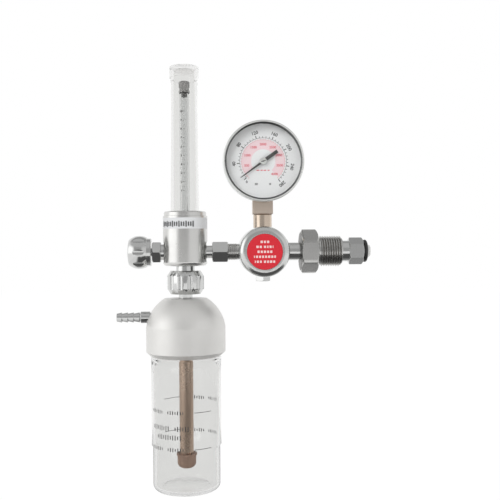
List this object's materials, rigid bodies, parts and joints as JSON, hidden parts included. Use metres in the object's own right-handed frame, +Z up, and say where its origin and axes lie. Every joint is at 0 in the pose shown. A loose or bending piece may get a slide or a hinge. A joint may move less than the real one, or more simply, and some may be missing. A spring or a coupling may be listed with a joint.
{
  "type": "oxygen regulator",
  "caption": "Oxygen cylinder regulator with pressure gauge, needle valve flowmeter, clear flow tube and humidifier bottle with a hose barb.",
  "frame": {"origin": "on the inlet's axis at the end of the nut's full thread, where the lead chamfer starts", "axes": "+X out of the inlet, +Z up along the flow tube, front face towards -Y"},
  "size_m": [0.1915, 0.0594, 0.3162],
  "materials": {
    "chrome": "polished chrome plate on brass",
    "nickel": "warm nickel plate on brass",
    "cap_aluminium": "satin anodised",
    "gauge_steel": "satin light grey",
    "dial_white": "matt white print ground",
    "label_red": "satin red",
    "band_grey": "light grey print",
    "lens_clear": "clear",
    "clear_plastic": "clear polycarbonate",
    "plug_dark": "moulded",
    "rubber_black": "moulded",
    "filter_white": "sintered",
    "diffuser_bronze": "sintered bronze",
    "movement_brass": "machined brass",
    "pointer_black": "matt black",
    "steel": "bright steel"
  },
  "bodies": {
    "main": {"inlet_stem": "chrome", "inlet_nipple": "chrome", "inlet_o_ring": "rubber_black", "inlet_filter": "filter_white", "regulator_body": "chrome", "bonnet": "chrome", "label_disc": "label_red", "adjusting_screw": "steel", "spring_button": "steel", "main_spring": "steel", "diaphragm": "rubber_black", "valve_seat": "movement_brass", "poppet_spring": "steel", "relief_valve": "chrome", "relief_spring": "steel", "outlet_stub": "chrome", "coupling_nut": "chrome", "coupling_tail": "chrome", "gauge_adapter": "nickel", "gauge_socket": "nickel", "gauge_case": "gauge_steel", "gauge_bezel": "gauge_steel", "gauge_lens": "lens_clear", "lens_gasket": "rubber_black", "gauge_dial": "dial_white", "bourdon_tube": "movement_brass", "movement_frame": "movement_brass", "movement_plate": "movement_brass", "hairspring": "steel", "flowmeter_body": "chrome", "name_band": "band_grey", "tube_retaining_ring": "chrome", "flow_tube_cover": "clear_plastic", "tube_seal_ring": "rubber_black", "metering_tube": "clear_plastic", "tube_plug": "plug_dark", "valve_gland": "chrome", "outlet_nipple": "chrome"},
    "cylinder_nut": {"inlet_nut": "chrome"},
    "gauge_hand": {"pointer": "pointer_black", "pinion_shaft": "movement_brass"},
    "gauge_sector": {"sector_gear": "movement_brass"},
    "gauge_link": {"bourdon_tip": "movement_brass", "link": "movement_brass"},
    "float": {"float_ball": "steel"},
    "regulating_valve": {"valve_poppet": "movement_brass", "diaphragm_plate": "steel"},
    "relief_plunger": {"relief_poppet": "movement_brass"},
    "spindle_travel": {"spindle_o_ring": "rubber_black"},
    "flow_control": {"flow_knob": "chrome", "needle_spindle": "nickel"},
    "humidifier": {"humidifier_cap": "cap_aluminium", "humidifier_spigot": "chrome", "spigot_seal": "rubber_black", "hose_barb": "chrome", "dip_tube": "nickel", "diffuser": "diffuser_bronze"},
    "humidifier_nut": {"hand_nut": "chrome"},
    "bottle_travel": {"bottle_seal": "rubber_black"},
    "water_bottle": {"bottle": "clear_plastic"}
  },
  "joints": [
    {"name": "inlet_nut_turn", "type": "hinge", "parent": "main", "child": "cylinder_nut", "pos_m": [0, 0, 0], "axis": [1, 0, 0], "continuous": true},
    {"name": "pointer_turn", "type": "hinge", "parent": "main", "child": "gauge_hand", "pos_m": [-0.0582, 0, 0.0668], "axis": [0, 1, 0], "range_deg": [0, 261.3], "stiffness_Nm_per_rad": 0.0002, "springref_deg": -28.65, "deforming": ["hairspring"]},
    {"name": "sector_turn", "type": "hinge", "parent": "main", "child": "gauge_sector", "pos_m": [-0.0582, 0, 0.0506], "axis": [0, 1, 0], "range_deg": [-32.7, 0]},
    {"name": "link_slide", "type": "slide", "parent": "main", "child": "gauge_link", "axis": [1, 0, 0], "range_m": [0, 0.00365], "deforming": ["bourdon_tube"]},
    {"name": "float_rise", "type": "slide", "parent": "main", "child": "float", "axis": [0, 0, 1], "range_m": [0, 0.0975]},
    {"name": "regulating_move", "type": "slide", "parent": "main", "child": "regulating_valve", "axis": [0, -1, 0], "range_m": [0, 0.0005], "stiffness_N_per_m": 500, "springref_m": -0.002, "deforming": ["main_spring", "poppet_spring", "diaphragm"]},
    {"name": "relief_lift", "type": "slide", "parent": "main", "child": "relief_plunger", "axis": [0, 0, -1], "range_m": [0, 0.001], "stiffness_N_per_m": 300, "springref_m": -0.002, "deforming": ["relief_spring"]},
    {"name": "spindle_slide", "type": "slide", "parent": "main", "child": "spindle_travel", "axis": [-1, 0, 0], "range_m": [0, 0.00112]},
    {"name": "flow_knob_turn", "type": "hinge", "parent": "spindle_travel", "child": "flow_control", "pos_m": [-0.1165, 0, 0], "axis": [-1, 0, 0], "range_deg": [0, 540.5]},
    {"name": "humidifier_drop", "type": "slide", "parent": "main", "child": "humidifier", "axis": [0, 0, -1], "range_m": [0, 0.00847]},
    {"name": "hand_nut_turn", "type": "hinge", "parent": "humidifier", "child": "humidifier_nut", "pos_m": [-0.1165, 0, 0], "axis": [0, 0, -1], "range_deg": [0, 2162.2]},
    {"name": "bottle_drop", "type": "slide", "parent": "humidifier", "child": "bottle_travel", "axis": [0, 0, -1], "range_m": [0, 0.009]},
    {"name": "bottle_turn", "type": "hinge", "parent": "bottle_travel", "child": "water_bottle", "pos_m": [-0.1165, 0, 0], "axis": [0, 0, -1], "range_deg": [0, 1081.1]}
  ],
  "couplings": [
    {"joint": "sector_turn", "follows": "link_slide", "rad_per_m": -155.94},
    {"joint": "pointer_turn", "follows": "link_slide", "rad_per_m": 1247.6},
    {"joint": "flow_knob_turn", "follows": "spindle_slide", "rad_per_m": 8377.6},
    {"joint": "hand_nut_turn", "follows": "humidifier_drop", "rad_per_m": 4452.7},
    {"joint": "bottle_turn", "follows": "bottle_drop", "rad_per_m": 2094.4}
  ]
}
